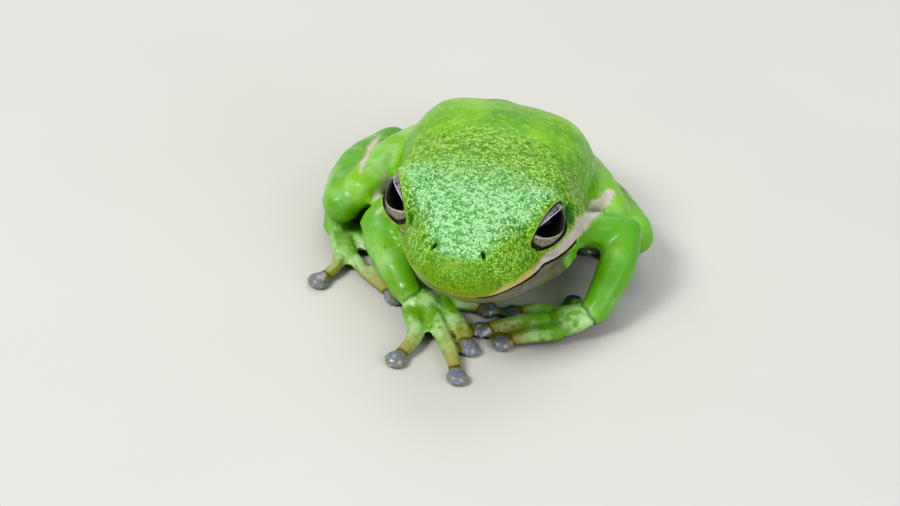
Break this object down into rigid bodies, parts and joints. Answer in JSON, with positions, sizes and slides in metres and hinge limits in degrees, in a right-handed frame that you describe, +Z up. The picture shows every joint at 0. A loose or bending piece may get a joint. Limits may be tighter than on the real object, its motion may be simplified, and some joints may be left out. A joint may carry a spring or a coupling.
{
  "type": "tree frog",
  "caption": "Life-size still model of a green tree frog, crouching with its head raised, its hands set down under its chin and its long hind legs folded beside it.",
  "frame": {"origin": "middle of the bounding box's footprint, on the floor that the frog rests on", "axes": "+Z up, the frog faces -Y, its left side is +X"},
  "size_m": [0.0302, 0.0396, 0.0147],
  "materials": {
    "green_skin": "moist bright leaf-green skin, finely grained on the head and smooth on the limbs",
    "pale_skin": "moist cream to grey-lilac skin of the throat and belly, green along the lip",
    "digit_skin": "moist green skin fading to tan, with pale glossy toe discs",
    "eye": "clear glossy cornea over a grey-gold iris and a wide black pupil"
  },
  "bodies": {
    "root": {"head": "green_skin", "lower_jaw": "pale_skin", "eye_right": "eye", "eye_left": "eye", "trunk": "green_skin", "right_thigh": "green_skin", "right_shank": "green_skin", "right_tarsus": "green_skin", "right_foot": "green_skin", "right_upper_arm": "green_skin", "right_forearm": "green_skin", "right_hand": "green_skin", "right_finger_1": "digit_skin", "right_finger_2": "digit_skin", "right_finger_3": "digit_skin", "right_finger_4": "digit_skin", "right_toe_1": "digit_skin", "right_toe_2": "digit_skin", "right_toe_3": "digit_skin", "right_toe_4": "digit_skin", "right_toe_5": "digit_skin", "left_thigh": "green_skin", "left_shank": "green_skin", "left_tarsus": "green_skin", "left_foot": "green_skin", "left_upper_arm": "green_skin", "left_forearm": "green_skin", "left_hand": "green_skin", "left_finger_1": "digit_skin", "left_finger_2": "digit_skin", "left_finger_3": "digit_skin", "left_finger_4": "digit_skin", "left_toe_1": "digit_skin", "left_toe_2": "digit_skin", "left_toe_3": "digit_skin", "left_toe_4": "digit_skin", "left_toe_5": "digit_skin"}
  },
  "joints": []
}
